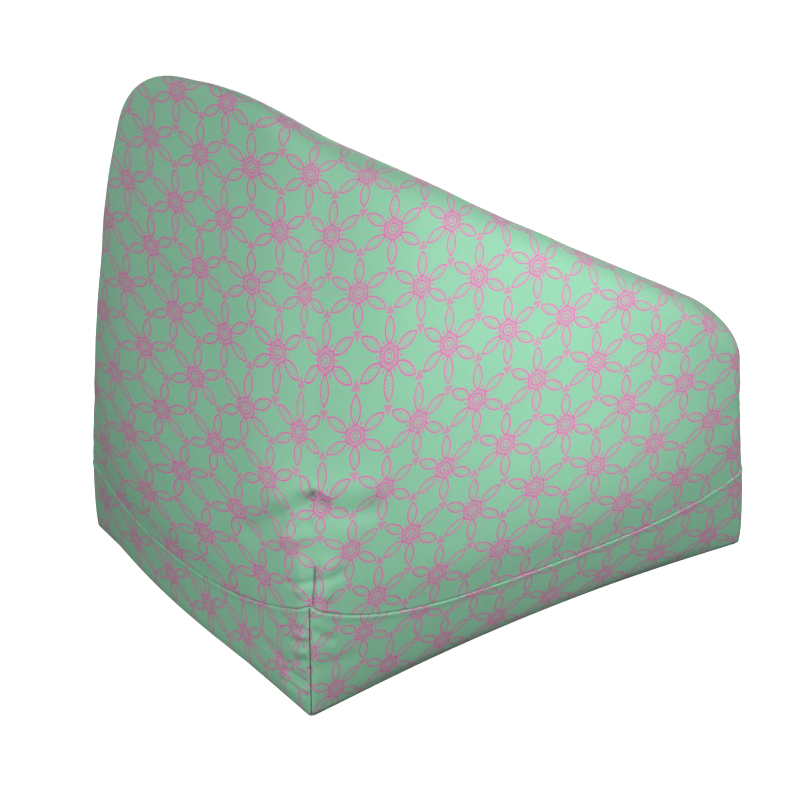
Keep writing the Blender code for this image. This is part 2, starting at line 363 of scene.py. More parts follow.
@dataclass(frozen=True)
class FlowerPrint:
    """A repeat of six-petal flowers set in rows, drawn in one ink. Sizes are in millimetres.

    Each flower has a ringed rosette, six outlined leaf petals and a small lozenge between each two
    petals. A small filled triangle sits where the tips of three petals meet. A share is how much ink a
    mark takes, and a fade is the slope and the start of a line that gives a share.
    """

    pitch: float = 110.0
    line: float = 2.6
    bleed: float = 0.5
    petal_start: float = 16.0
    petal_tip: float = 55.0
    petal_half_width: float = 7.9
    vein_inset: float = 3.9
    vein_fade: tuple = (-0.7, 1.3)
    vein_spacing: float = 4.4
    vein_share: float = 1.1
    seed_ring: float = 4.2
    seed_share: float = 0.75
    inner_ring: float = 8.8
    outer_ring: float = 16.2
    scallop: float = 18.0
    scallop_middle: float = 17.2
    tint_rays: float = 18.0
    tint_fade: tuple = (0.26, 0.60)
    lozenge_place: float = 20.5
    lozenge_length: float = 4.2
    lozenge_width: float = 2.6
    lozenge_fade: tuple = (-2.6, 2.9)
    triangle_size: float = 5.3
    fill_share: float = 0.70
    ripple: float = 4.6
    ripple_fade: tuple = (0.10, 0.05)
    hair_gap: float = 6.0
    hair_fade: tuple = (-1.2, 1.0)
    hair_share: float = 0.35

    def stroke(self, name: str, value: str, place: float) -> tuple:
        """Steps that draw a soft-edged line where a value reaches a place.

        Args:
            name: The line's name, from which the steps are named.
            value: Name of the step that gives the value.
            place: The value in the middle of the line.

        Returns:
            Three steps: how far past the line, how far from it, and its ink.
        """
        soft = 1 / (2 * self.bleed)
        middle = (self.line / 2 + self.bleed) * soft
        return (
            (f"past_{name}", PLAIN, "SUBTRACT", value, place),
            (f"{name}_gap", PLAIN, "ABSOLUTE", f"past_{name}"),
            (f"{name}_line", PLAIN, "MULTIPLY_ADD", f"{name}_gap", -soft, middle),
        )

    def fold_about(self, name: str, angle: str) -> tuple:
        """Steps that fold the flower about the nearest of six axes.

        Args:
            name: The axis's name, from which the steps are named.
            angle: Name of the step that gives the angle from an axis.

        Returns:
            Six steps, which include the distance along the axis and end with the distance from it.
        """
        return (
            (f"{name}_angle", PLAIN, "WRAP", angle, pi / 6, -pi / 6),
            (f"{name}_cos", PLAIN, "COSINE", f"{name}_angle"),
            (f"{name}_sin", PLAIN, "SINE", f"{name}_angle"),
            (f"{name}_along", PLAIN, "MULTIPLY", "reach", f"{name}_cos"),
            (f"{name}_aside", PLAIN, "MULTIPLY", "reach", f"{name}_sin"),
            (f"{name}_across", PLAIN, "ABSOLUTE", f"{name}_aside"),
        )

    def steps(self) -> list:
        """The drawing as steps of vector and plain maths.

        Returns:
            Steps of (name, node type, operation, *inputs). An input is a number, a triple, the name of an
            earlier step, or such a name with an output's number.
        """
        cell = (self.pitch / 2, self.pitch * sqrt(3) / 2, 0.0)
        low = tuple(-part for part in cell)
        half = (self.petal_tip - self.petal_start) / 2
        middle = (self.petal_tip + self.petal_start) / 2
        arc = (half**2 + self.petal_half_width**2) / (2 * self.petal_half_width)
        corner = self.pitch / sqrt(3)
        steps = [
            # The place measured from the nearest flower of the two sets of rows
            ("millimetres", VECTOR, "MULTIPLY", "uv", (MM, MM, MM)),
            ("first_rows", VECTOR, "WRAP", "millimetres", cell, low),
            ("moved", VECTOR, "ADD", "millimetres", cell),
            ("second_rows", VECTOR, "WRAP", "moved", cell, low),
            ("to_first", VECTOR, "LENGTH", "first_rows"),
            ("to_second", VECTOR, "LENGTH", "second_rows"),
            ("first_nearer", PLAIN, "LESS_THAN", "to_first", "to_second"),
            ("apart", VECTOR, "SUBTRACT", "first_rows", "second_rows"),
            ("chosen", VECTOR, "MULTIPLY", "apart", "first_nearer"),
            ("place", VECTOR, "ADD", "second_rows", "chosen"),
            ("reach", VECTOR, "LENGTH", "place"),
            ("split", "ShaderNodeSeparateXYZ", None, "place"),
            ("angle", PLAIN, "ARCTAN2", ("split", 1), ("split", 0)),
            # Folded about the axis of the nearest petal, and about the line to the next flower
            ("petal_turn", PLAIN, "SUBTRACT", "angle", pi / 6),
            *self.fold_about("petal", "petal_turn"),
            *self.fold_about("gap", "angle"),
            # Leaf petal: each side is an arc of one circle
            ("from_middle", PLAIN, "SUBTRACT", "petal_along", middle),
            ("from_centre", PLAIN, "ADD", "petal_across", arc - self.petal_half_width),
            ("pair", "ShaderNodeCombineXYZ", None, "from_middle", "from_centre"),
            ("to_centre", VECTOR, "LENGTH", "pair"),
            *self.stroke("side", "to_centre", arc),
            # Row of dots inside the petal's outline
            ("vein_place", PLAIN, "ADD", "past_side", self.vein_inset),
            ("vein_gap", PLAIN, "ABSOLUTE", "vein_place"),
            ("vein_band", PLAIN, "MULTIPLY_ADD", "vein_gap", *self.vein_fade),
            ("vein_line", PLAIN, "MAXIMUM", "vein_band", 0.0),
            ("vein_wave", PLAIN, "MULTIPLY", "petal_along", 2 * pi / self.vein_spacing),
            ("vein_beat", PLAIN, "SINE", "vein_wave"),
            ("vein_dots", PLAIN, "MULTIPLY", "vein_line", "vein_beat"),
            ("vein_faint", PLAIN, "MULTIPLY", "vein_dots", self.vein_share),
            # Rosette: two rings, the outer one scalloped, with a paler tint between them
            *self.stroke("inner", "reach", self.inner_ring),
            ("scallop", PLAIN, "MULTIPLY", "petal_cos", self.scallop),
            ("unscalloped", PLAIN, "SUBTRACT", "reach", "scallop"),
            *self.stroke("outer", "unscalloped", self.outer_ring - self.scallop_middle),
            ("tint_place", PLAIN, "SUBTRACT", "reach", (self.inner_ring + self.outer_ring) / 2),
            ("tint_gap", PLAIN, "ABSOLUTE", "tint_place"),
            ("tint", PLAIN, "LESS_THAN", "tint_gap", (self.outer_ring - self.inner_ring) / 2),
            ("tint_turn", PLAIN, "MULTIPLY", "angle", self.tint_rays),
            ("tint_beat", PLAIN, "SINE", "tint_turn"),
            ("tint_strength", PLAIN, "MULTIPLY_ADD", "tint_beat", *self.tint_fade),
            ("tint_faint", PLAIN, "MULTIPLY", "tint", "tint_strength"),
            *self.stroke("seed", "reach", self.seed_ring),
            ("seed_cut", PLAIN, "MAXIMUM", "seed_line", 0.0),
            ("seeds", PLAIN, "MULTIPLY", "seed_cut", self.seed_share),
            # Lozenge between two petals, and the triangle where three tips meet
            ("lozenge_from", PLAIN, "SUBTRACT", "gap_along", self.lozenge_place),
            ("lozenge_gap", PLAIN, "ABSOLUTE", "lozenge_from"),
            ("lozenge_long", PLAIN, "DIVIDE", "lozenge_gap", self.lozenge_length),
            ("lozenge_wide", PLAIN, "DIVIDE", "gap_across", self.lozenge_width),
            ("lozenge_sum", PLAIN, "ADD", "lozenge_long", "lozenge_wide"),
            ("lozenge_shape", PLAIN, "MULTIPLY_ADD", "lozenge_sum", *self.lozenge_fade),
            ("lozenge", PLAIN, "MINIMUM", "lozenge_shape", self.fill_share),
            ("triangle", PLAIN, "GREATER_THAN", "petal_along", corner - self.triangle_size),
            ("triangle_faint", PLAIN, "MULTIPLY", "triangle", self.fill_share),
            # Faint ripples round each flower
            ("ripple_wave", PLAIN, "MULTIPLY", "reach", 2 * pi / self.ripple),
            ("ripple_beat", PLAIN, "SINE", "ripple_wave"),
            ("ripple_faint", PLAIN, "MULTIPLY_ADD", "ripple_beat", *self.ripple_fade),
            # Hairline from flower to flower
            ("hair", PLAIN, "MULTIPLY_ADD", "gap_across", *self.hair_fade),
            ("hair_reach", PLAIN, "GREATER_THAN", "reach", self.lozenge_place + self.hair_gap),
            ("hair_cut", PLAIN, "MULTIPLY", "hair", "hair_reach"),
            ("hair_faint", PLAIN, "MULTIPLY", "hair_cut", self.hair_share),
        ]
        # The strongest mark at a place is the one that prints
        strongest = "side_line"
        for mark in ("vein_faint", "inner_line", "outer_line", "tint_faint", "seeds", "lozenge",
                     "triangle_faint", "hair_faint", "ripple_faint"):
            steps.append((f"over_{mark}", PLAIN, "MAXIMUM", strongest, mark))
            strongest = f"over_{mark}"
        return steps + [("ink", PLAIN, "MINIMUM", strongest, 1.0)]

    def group(self) -> bpy.types.NodeTree:
        """Build the print as a node group that turns the cloth's own UV into an ink share.

        Returns:
            The group, with a Vector input and an Ink output.
        """
        tree = bpy.data.node_groups.new("six_petal_print", "ShaderNodeTree")
        tree.interface.new_socket("Vector", in_out="INPUT", socket_type="NodeSocketVector")
        tree.interface.new_socket("Ink", in_out="OUTPUT", socket_type="NodeSocketFloat")
        made = {"uv": add_node(tree, "NodeGroupInput").outputs[0]}
        nodes = {}
        for name, kind, operation, *wanted in self.steps():
            inputs = []
            for value in wanted:
                if isinstance(value, str):
                    value = made[value]
                elif isinstance(value, tuple) and isinstance(value[0], str):
                    value = nodes[value[0]].outputs[value[1]]
                inputs.append(value)
            node = add_node(tree, kind, {"operation": operation} if operation else None, inputs)
            nodes[name] = node
            made[name] = node.outputs["Value"] if operation == "LENGTH" else node.outputs[0]
        add_node(tree, "NodeGroupOutput", None, (made["ink"],))
        return tree


# Sockets of a Mix node for colours: the two colours and the result
COLOUR_A, COLOUR_B, COLOUR_OUT = 6, 7, 2
WAVE_TURN = 20.0            # how far a wave texture turns over a metre at a scale of 1, in radians


@dataclass(frozen=True)
class PrintedCotton:
    """Woven cotton canvas with one ink printed on dyed cloth: matt, with a faint bloom at low angles."""

    name: str
    ground: str = "#7acb9f"
    worn: str = "#84d2a8"
    ink: str = "#de5ab0"
    roughness: float = 0.66
    specular: float = 0.60
    sheen: float = 0.12
    thread_mm: float = 1.5      # a thread or the dip beside it: finer in real cloth, drawn coarse to show
    slub_mm: float = 9.0
    fade_mm: float = 90.0
    thread_depth: float = 0.00018
    slub_tone: tuple = (0.5, -0.05)
    fade_tone: float = 0.6
    ink_cover: tuple = (0.4, 0.72)
    weave_shade: tuple = (0.08, 0.96)
    slub_matt: float = 0.12
    sheen_roughness: float = 0.5
    printed: bool = True

    def make(self) -> bpy.types.Material:
        """Build the cloth's material.

        Returns:
            The material, which reads the piece's print UV map and Object coordinates.
        """
        material = bpy.data.materials.new(self.name)
        material.use_nodes = True
        tree = material.node_tree
        shader = tree.nodes["Principled BSDF"]
        uv = add_node(tree, "ShaderNodeUVMap", {"uv_map": "print"}).outputs["UV"]
        place = add_node(tree, "ShaderNodeTexCoord").outputs["Object"]
        # Dye: slow fading over the cloth and thicker threads here and there
        fade = add_node(tree, "ShaderNodeTexNoise", None,
                        {"Vector": place, "Scale": MM / self.fade_mm, "Detail": 3.0, "Roughness": 0.55})
        slub = add_node(tree, "ShaderNodeTexNoise", None,
                        {"Vector": place, "Scale": MM / self.slub_mm, "Detail": 4.0, "Roughness": 0.7})
        tone = add_node(tree, "ShaderNodeMath", {"operation": "MULTIPLY_ADD"},
                        (slub.outputs["Fac"], *self.slub_tone)).outputs[0]
        dye = add_node(tree, "ShaderNodeMath", {"operation": "MULTIPLY_ADD", "use_clamp": True},
                       (fade.outputs["Fac"], self.fade_tone, tone)).outputs[0]
        ground = add_node(tree, "ShaderNodeMix", {"data_type": "RGBA"},
                          {"Factor": dye, COLOUR_A: srgb(self.ground), COLOUR_B: srgb(self.worn)}
                          ).outputs[COLOUR_OUT]
        # Weave: two crossed sets of threads
        threads = [add_node(tree, "ShaderNodeTexWave", {"wave_type": "BANDS", "bands_direction": axis},
                            {"Vector": uv, "Scale": MM / self.thread_mm / WAVE_TURN * pi, "Distortion": 0.6,
                             "Detail": 1.0, "Detail Scale": 2.0}).outputs["Fac"] for axis in "XY"]
        weave = add_node(tree, "ShaderNodeMath", {"operation": "MULTIPLY"}, threads).outputs[0]
        colour = ground
        if self.printed:
            group = add_node(tree, "ShaderNodeGroup", {"node_tree": FlowerPrint().group()}, (uv,))
            cover = add_node(tree, "ShaderNodeMath", {"operation": "MULTIPLY_ADD", "use_clamp": True},
                             (slub.outputs["Fac"], *self.ink_cover)).outputs[0]
            share = add_node(tree, "ShaderNodeMath", {"operation": "MULTIPLY", "use_clamp": True},
                             (group.outputs[0], cover)).outputs[0]
            colour = add_node(tree, "ShaderNodeMix", {"data_type": "RGBA"},
                              {"Factor": share, COLOUR_A: ground, COLOUR_B: srgb(self.ink)}
                              ).outputs[COLOUR_OUT]
        shade = add_node(tree, "ShaderNodeMath", {"operation": "MULTIPLY_ADD"},
                         (weave, *self.weave_shade)).outputs[0]
        woven = add_node(tree, "ShaderNodeVectorMath", {"operation": "SCALE"},
                         {0: colour, "Scale": shade}).outputs[0]
        tree.links.new(woven, shader.inputs["Base Color"])
        matt = add_node(tree, "ShaderNodeMath", {"operation": "MULTIPLY_ADD", "use_clamp": True},
                        (slub.outputs["Fac"], self.slub_matt, self.roughness - self.slub_matt / 2)).outputs[0]
        tree.links.new(matt, shader.inputs["Roughness"])
        crumple = add_node(tree, "ShaderNodeBump", None,
                           {"Strength": 0.35, "Distance": 0.0016, "Height": slub.outputs["Fac"]})
        bump = add_node(tree, "ShaderNodeBump", None,
                        {"Strength": 0.6, "Distance": self.thread_depth, "Height": weave,
                         "Normal": crumple.outputs["Normal"]})
        tree.links.new(bump.outputs["Normal"], shader.inputs["Normal"])
        shader.inputs["Sheen Weight"].default_value = self.sheen
        shader.inputs["Sheen Roughness"].default_value = self.sheen_roughness
        shader.inputs["Specular IOR Level"].default_value = self.specular
        return material


@dataclass(frozen=True)
class Fold:
    """A soft ridge or hollow along a short line, set out from a corner. Metres.

    The line runs from (start_run, start_height) to (end_run, end_height). Run is measured round the
    lounger from the corner, and a depth below zero is a hollow.
    """

    start_run: float
    start_height: float
    end_run: float
    end_height: float
    width: float
    depth: float

    def rise(self, run: np.ndarray, height: np.ndarray) -> np.ndarray:
        """How far the cloth stands out at each place.

        Args:
            run: Places round the lounger from the corner.
            height: Heights of those places.

        Returns:
            The rise, in metres.
        """
        step_run, step_height = self.end_run - self.start_run, self.end_height - self.start_height
        square = step_run**2 + step_height**2
        share = ((run - self.start_run) * step_run + (height - self.start_height) * step_height) / square
        share = np.clip(share, 0.0, 1.0)
        away = (run - self.start_run - share * step_run)**2 + (height - self.start_height
                                                              - share * step_height)**2
        return self.depth * np.exp(-away / self.width**2)


def widening(run: np.ndarray, pitch: float, growth: float) -> np.ndarray:
    """How many columns of flowers a run holds, where they start at a pitch and widen as they go."""
    return np.log1p(growth * np.maximum(run, 0.0) / pitch) / growth


def print_uv(columns: np.ndarray, rows: np.ndarray) -> np.ndarray:
    """Print UV in metres of printed cloth from column and row numbers."""
    pitch = FlowerPrint().pitch / MM
    return np.stack([columns * pitch, rows * pitch * sqrt(3) / 2], axis=-1)


@dataclass(frozen=True)
class PrintLay:
    """How the print lies on the upper cover. Lengths in metres.

    The flowers were cut and stretched with the cloth: their columns stand closest at the near back
    corner and further apart going away from it, and their rows sink where the corner dart takes cloth up.
    """

    start_turn: float = 1.0131
    side_pitch: float = 0.0798
    side_growth: float = 0.096
    back_pitch: float = 0.1226
    back_growth: float = 0.1715
    gather: float = 0.96
    gather_turns: float = 0.12
    gather_climb: float = 0.448
    gather_reach: float = 0.34
    plain_pitch: float = 0.125
    back_row: float = 0.0703
    side_row: float = 0.0749
    row_change: tuple = (0.8, 1.25)
    seat_row: float = 0.078
    seat_pitch: float = 0.090
    level_row: float = 5.0
    level_height: float = 0.5469
    dip: float = 0.0322
    dip_turn: float = 1.04
    dip_turns: float = 0.23
    dip_fade: tuple = (0.36, 0.52)
    tuck: float = 0.018
    tuck_turns: float = 0.05
    tuck_climb: float = 0.275
    tuck_reach: float = 0.035

    def columns(self, turn: np.ndarray, climb: np.ndarray) -> np.ndarray:
        """Column number of the flowers at each place of the walls.

        Args:
            turn: Places round the lounger, from -1 to 3.
            climb: Height that the cloth has climbed to, measured along it.

        Returns:
            The column numbers, which need not be whole.
        """
        side_run = (np.minimum(turn, NEAR_FRONT) - self.start_turn) * DEPTH
        back_run = (self.start_turn - np.maximum(turn, FAR_BACK)) * WIDTH
        side = widening(side_run, self.side_pitch, self.side_growth)
        back = widening(back_run, self.back_pitch, self.back_growth)
        front = np.maximum(turn - NEAR_FRONT, 0.0) * WIDTH / self.plain_pitch
        far = np.maximum(FAR_BACK - turn, 0.0) * DEPTH / self.plain_pitch
        gathered = (1 - np.exp(-np.maximum(self.start_turn - turn, 0.0) / self.gather_turns)
                    ) * np.exp(-((climb - self.gather_climb) / self.gather_reach)**2)
        return side - back + front - far - self.gather * gathered

    def rows(self, turn: np.ndarray, climb: np.ndarray) -> np.ndarray:
        """Row number of the flowers at each place of the walls.

        Args:
            turn: Places round the lounger.
            climb: Height that the cloth has climbed to, measured along it.

        Returns:
            The row numbers, which need not be whole.
        """
        side = smooth_share(turn, *self.row_change)
        pitch = self.back_row + (self.side_row - self.back_row) * side
        low = 1 - smooth_share(climb, *self.dip_fade)
        sunk = self.dip * np.exp(-((turn - self.dip_turn) / self.dip_turns)**2) * low
        sunk = sunk + self.tuck * np.exp(-((turn - NEAR_BACK) / self.tuck_turns)**2
                                         - ((climb - self.tuck_climb) / self.tuck_reach)**2)
        return self.level_row + (climb + sunk - self.level_height) / pitch


def add_patch(bm: bmesh.types.BMesh, points: np.ndarray, prints: np.ndarray) -> None:
    """Add a grid of cloth to a bmesh.

    Args:
        bm: The bmesh, with a UV layer called print.
        points: Places, by row and column.
        prints: Print UV, by row and column.
    """
    rows, cols = points.shape[:2]
    layer = bm.loops.layers.uv["print"]
    verts = bmesh.ops.create_grid(bm, x_segments=cols - 1, y_segments=rows - 1, size=1.0)["verts"]
    for vert in verts:
        at = round((vert.co.y + 1) / 2 * (rows - 1)), round((vert.co.x + 1) / 2 * (cols - 1))
        vert.co = points[at]
        for loop in vert.link_loops:
            loop[layer].uv = prints[at]


def sew(*patches: tuple) -> bmesh.types.BMesh:
    """Sew patches of cloth together.

    Args:
        patches: The places and the print UV of each patch, by row and column.

    Returns:
        A bmesh with the patches' touching edges merged.
    """
    bm = bmesh.new()
    bm.loops.layers.uv.new("print")
    for points, prints in patches:
        add_patch(bm, points, prints)
    bmesh.ops.remove_doubles(bm, verts=bm.verts, dist=MERGE_DISTANCE)
    return bm


def open_edges(bm: bmesh.types.BMesh) -> list:
    """Edges of a bmesh that have one face."""
    return [edge for edge in bm.edges if edge.is_boundary]


def close_up(name: str, bm: bmesh.types.BMesh, materials: list) -> bpy.types.Object:
    """Turn a bmesh's faces out and make it an object.

    Args:
        name: The piece's name.
        bm: The bmesh, which is freed.
        materials: The piece's materials.

    Returns:
        The object, linked to the scene.
    """
    bmesh.ops.recalc_face_normals(bm, faces=bm.faces)
    mesh = bpy.data.meshes.new(name)
    bm.to_mesh(mesh)
    bm.free()
    for material in materials:
        mesh.materials.append(material)
    mesh.shade_smooth()
    piece = bpy.data.objects.new(name, mesh)
    bpy.context.scene.collection.objects.link(piece)
    return piece


def out_of(points: np.ndarray) -> np.ndarray:
    """Unit normals of a grid of cloth.

    Args:
        points: Places in rows that climb and in columns that run anticlockwise from above.

    Returns:
        A normal for each place, facing out.
    """
    climb = np.gradient(points, axis=0)
    run = np.gradient(points, axis=1)
    normal = np.cross(run, climb)
    return normal / np.maximum(np.linalg.norm(normal, axis=-1, keepdims=True), TINY)


@dataclass
class FilledCover:
    """The upper cover over its filling: one closed padded form. Lengths in metres.

    The wall rows' three numbers are the first spacing, the largest and the growth.
    """

    cloth: bpy.types.Material
    lay: PrintLay = PrintLay()
    fine: float = 0.0013
    coarse: float = 0.009
    growth: float = 1.08
    wall_rows: tuple = (0.0008, 0.0055, 1.10)
    hidden_rows: tuple = (0.0, 0.35, 0.7, 0.93)
    edge_rows: int = 20
    inner_inset: float = 0.006
    seam_roll: float = 0.0030
    seam_roll_height: float = 0.0035
    swell: float = 0.0021
    swell_span: float = 0.13
    swell_start: tuple = (0.16, 0.24)
    small_swell: float = 0.4
    small_closeness: float = 2.3
    seat_swell: float = 1.3
    seat_reach: float = 0.35
    seat_fine: float = 0.003
    seat_coarse: float = 0.012
    rim_hold: float = 0.80
    corner_strengths: tuple = (0.15, 1.0, 0.12, 0.15)
    dart: Fold = Fold(start_run=0.004, start_height=CORNER_SEAM_HEIGHTS[NEAR_BACK],
                      end_run=0.006, end_height=CORNER_SEAM_HEIGHTS[NEAR_BACK] + 0.047,
                      width=0.0018, depth=-0.0052)
    folds: tuple = (
        # Pucker over the end of the dart: a raised brow over an arched hollow
        Fold(-0.012, 0.297, 0.000, 0.302, 0.0042, 0.0048),
        Fold(0.000, 0.302, 0.018, 0.292, 0.0042, 0.0046),
        Fold(-0.006, 0.286, 0.003, 0.290, 0.0046, -0.0058),
        Fold(0.003, 0.290, 0.016, 0.281, 0.0046, -0.0056),
        Fold(-0.004, 0.276, 0.008, 0.276, 0.0070, -0.0034),
        # Hollows and ridges that run off to the back
        Fold(-0.040, 0.262, -0.012, 0.276, 0.0100, -0.0050),
        Fold(-0.098, 0.226, -0.050, 0.254, 0.0140, -0.0066),
        Fold(-0.048, 0.286, -0.020, 0.300, 0.0130, 0.0034),
        Fold(-0.020, 0.248, -0.004, 0.256, 0.0050, -0.0040),
        Fold(-0.034, 0.236, -0.008, 0.243, 0.0100, 0.0036),
        # Soft hollow that runs off along the near side
        Fold(0.014, 0.272, 0.082, 0.267, 0.0130, -0.0044),
        Fold(0.024, 0.302, 0.080, 0.300, 0.0150, 0.0030),
        # Fullness each side of the dart
        Fold(-0.013, 0.172, -0.011, 0.206, 0.0080, 0.0040),
        Fold(0.022, 0.168, 0.022, 0.206, 0.0080, 0.0036),
        # Pleats pressed in beside the dart
        Fold(-0.028, 0.178, 0.003, 0.184, 0.0036, -0.0044),
        Fold(0.010, 0.186, 0.042, 0.192, 0.0060, -0.0040),
    )

    def columns(self) -> np.ndarray:
        """Turns of the grid's columns, which start and end at the far front corner.

        Returns:
            The turns, from -1 round to 3.
        """
        shares = {True: graded_both(WIDTH, self.fine, self.coarse, self.growth),
                  False: graded_both(DEPTH, self.fine, self.coarse, self.growth)}
        turns = [start + share for start in range(FAR_FRONT - 4, FAR_FRONT)
                 for share in shares[start % 2 == 0][:-1]]
        return np.array([*turns, FAR_FRONT])

    def build(self) -> bpy.types.Object:
        """Returns:
            The piece.
        """
        turns = self.columns()
        points, climb = self.wall_points(turns)
        wide_turns = np.broadcast_to(turns, climb.shape)
        prints = print_uv(self.lay.columns(wide_turns, climb), self.lay.rows(wide_turns, climb))
        bm = sew((points, prints), self.roof_patch(points[-1]))
        bmesh.ops.contextual_create(bm, geom=open_edges(bm))
        piece = close_up("filled_cover", bm, [self.cloth])
        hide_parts("filled_body")
        return piece

    def wall_points(self, turns: np.ndarray) -> tuple:
        """Places of the walls and the soft edge.

        Args:
            turns: Turns of the columns.

        Returns:
            The points by row and column, and how high the cloth has climbed at each.
        """
        rows = [FORM.band(turns, share, self.inner_inset) for share in self.hidden_rows]
        seam = FORM.seam_height(turns)
        reach = BACK_HEIGHT - EDGE_ROUND - CORNER_SEAM_HEIGHTS[NEAR_BACK]
        shares = [place / reach for place in graded(reach, *self.wall_rows)]
        for share in shares:
            wall = FORM.wall(turns, share, 0.0)
            up = np.clip((wall[:, 2] - seam) / self.seam_roll_height, 0.0, 1.0)
            roll = self.seam_roll * (1 - np.sqrt(np.maximum(1 - (1 - up)**2, 0.0)))
            rows.append(FORM.wall(turns, share, roll))
        angles = np.linspace(0, pi / 2, self.edge_rows + 1)[1:]
        rows += [FORM.edge(turns, angle) for angle in angles]
        points = np.array(rows)
        steps = np.linalg.norm(np.diff(points, axis=0), axis=-1)
        climb = np.concatenate([np.zeros((1, len(turns))), np.cumsum(steps, axis=0)])
        first = len(self.hidden_rows)
        climb = climb - climb[first] + seam
        return self.folded(points, turns, first), climb

    def folded(self, points: np.ndarray, turns: np.ndarray, first: int) -> np.ndarray:
        """Press the dart, the pleats and the filling's soft swells into the walls.

        Args:
            points: Places by row and column.
            turns: Turns of the columns.
            first: The first row over the band seam.

        Returns:
            The moved places.
        """
        height = points[..., 2]
        rise = np.zeros(height.shape)
        for corner, strength in enumerate(self.corner_strengths):
            seat = CORNER_SEAM_HEIGHTS[corner] - CORNER_SEAM_HEIGHTS[NEAR_BACK]
            away = (turns - corner + 2) % 4 - 2
            run = np.broadcast_to(away * np.where(away > 0, (WIDTH, DEPTH)[corner % 2],
                                                  (DEPTH, WIDTH)[corner % 2]), height.shape)
            level = height - seat
            for fold in self.folds:
                rise += strength * fold.rise(run, level)
            rise += self.dart.rise(run, level)
        normals = out_of(points)
        rise += self.swells(points)
        rise[:first + 1] = 0.0
        moved = points + normals * rise[..., None]
        moved[:, -1] = moved[:, 0]
        return moved

    def swells(self, points: np.ndarray) -> np.ndarray:
        """Slow lumps of the loose filling under the cloth.

        Args:
            points: Places by row and column.

        Returns:
            How far each place rises. The lumps fade out towards the band.
        """
        flat = points.reshape(-1, 3) / self.swell_span
        lumps = [noise.noise(Vector(place))
                 + self.small_swell * noise.noise(Vector(place * self.small_closeness)) for place in flat]
        above = smooth_share(points[..., 2], *self.swell_start)
        return np.array(lumps).reshape(points.shape[:2]) * self.swell * above

    def roof_patch(self, rim: np.ndarray) -> tuple:
        """The seat: rings that draw in from the roof's rim to its middle.

        Args:
            rim: Places of the rim.

        Returns:
            The points and the print UV, by row and column.
        """
        rings = graded(self.seat_reach, self.seat_fine, self.seat_coarse, self.growth)
        shares = 1 - np.array(rings)[:, None] / self.seat_reach
        x, y = shares * rim[None, :, 0], shares * rim[None, :, 1]
        lift = rim[:, 2] - FORM.roof_height(rim[:, 0], rim[:, 1])
        keep = smooth_share(shares, self.rim_hold, 1.0)
        points = np.stack([x, y, FORM.roof_height(x, y) + lift * keep], axis=-1)
        points[..., 2] += self.swells(points) * self.seat_swell * (1 - keep)
        slope = sqrt(1 + ((BACK_HEIGHT - FRONT_HEIGHT) / (BROW_X - RIDGE_X))**2)
        return points, print_uv(-y / self.lay.seat_pitch, x * slope / self.lay.seat_row)


@dataclass(frozen=True)
class BandLay:
    """How the print lies on one band strip, measured from one of its ends. Lengths in metres."""

    from_end: bool
    first_flower: float
    pitch: float
    growth: float
    row_level: float
    row_swing: float
    row_pitch: float
    low_near: bool
    low_run: float = 0.16
    swing_run: float = 0.9

    def uv(self, run: np.ndarray, height: np.ndarray, length: float) -> np.ndarray:
        """Print UV of places of the strip.

        Args:
            run: Places along the strip, from its start.
            height: Heights along the cloth.
            length: Length of the strip.

        Returns:
            UV in metres of printed cloth.
        """
        away = length - run if self.from_end else run
        from_flower = away - self.first_flower
        columns = np.where(from_flower > 0, widening(from_flower, self.pitch, self.growth),
                           from_flower / self.pitch)
        if self.low_near:
            level = self.row_level - self.row_swing * np.exp(-(away / self.low_run)**2)
        else:
            level = self.row_level - self.row_swing * (1 - np.sin(pi * away / self.swing_run))
        rows = (height - level) / self.row_pitch
        return print_uv(-columns if self.from_end else columns, rows)


BAND_LAYS = {
    Wall.BACK: BandLay(True, 0.056, 0.068, 0.18, 0.080, 0.030, 0.080, True),
    Wall.NEAR_SIDE: BandLay(False, 0.037, 0.082, 0.06, 0.052, 0.030, 0.068, False),
    Wall.FRONT: BandLay(False, 0.050, 0.105, 0.0001, 0.052, 0.010, 0.080, False),
    Wall.FAR_SIDE: BandLay(False, 0.050, 0.105, 0.0001, 0.052, 0.010, 0.080, False),
}

CREASES = {
    Wall.BACK: (
        Fold(-0.020, 0.121, -0.002, 0.121, 0.0030, -0.0022),
        Fold(-0.018, 0.112, -0.002, 0.113, 0.0035, 0.0020),
        Fold(-0.030, 0.096, -0.002, 0.104, 0.0038, -0.0052),
        Fold(-0.026, 0.086, -0.002, 0.093, 0.0040, 0.0034),
        Fold(-0.024, 0.070, -0.002, 0.079, 0.0034, -0.0040),
        Fold(-0.080, 0.070, -0.040, 0.058, 0.0070, -0.0024),
        Fold(-0.045, 0.046, -0.003, 0.046, 0.0032, -0.0058),
        Fold(-0.048, 0.039, -0.003, 0.038, 0.0034, 0.0042),
        Fold(-0.050, 0.029, -0.003, 0.030, 0.0032, -0.0058),
    ),
    Wall.NEAR_SIDE: (
        Fold(0.004, 0.121, 0.030, 0.102, 0.0060, -0.0030),
        Fold(0.004, 0.070, 0.060, 0.066, 0.0100, -0.0016),
    ),
    Wall.FRONT: (),
    Wall.FAR_SIDE: (),
}


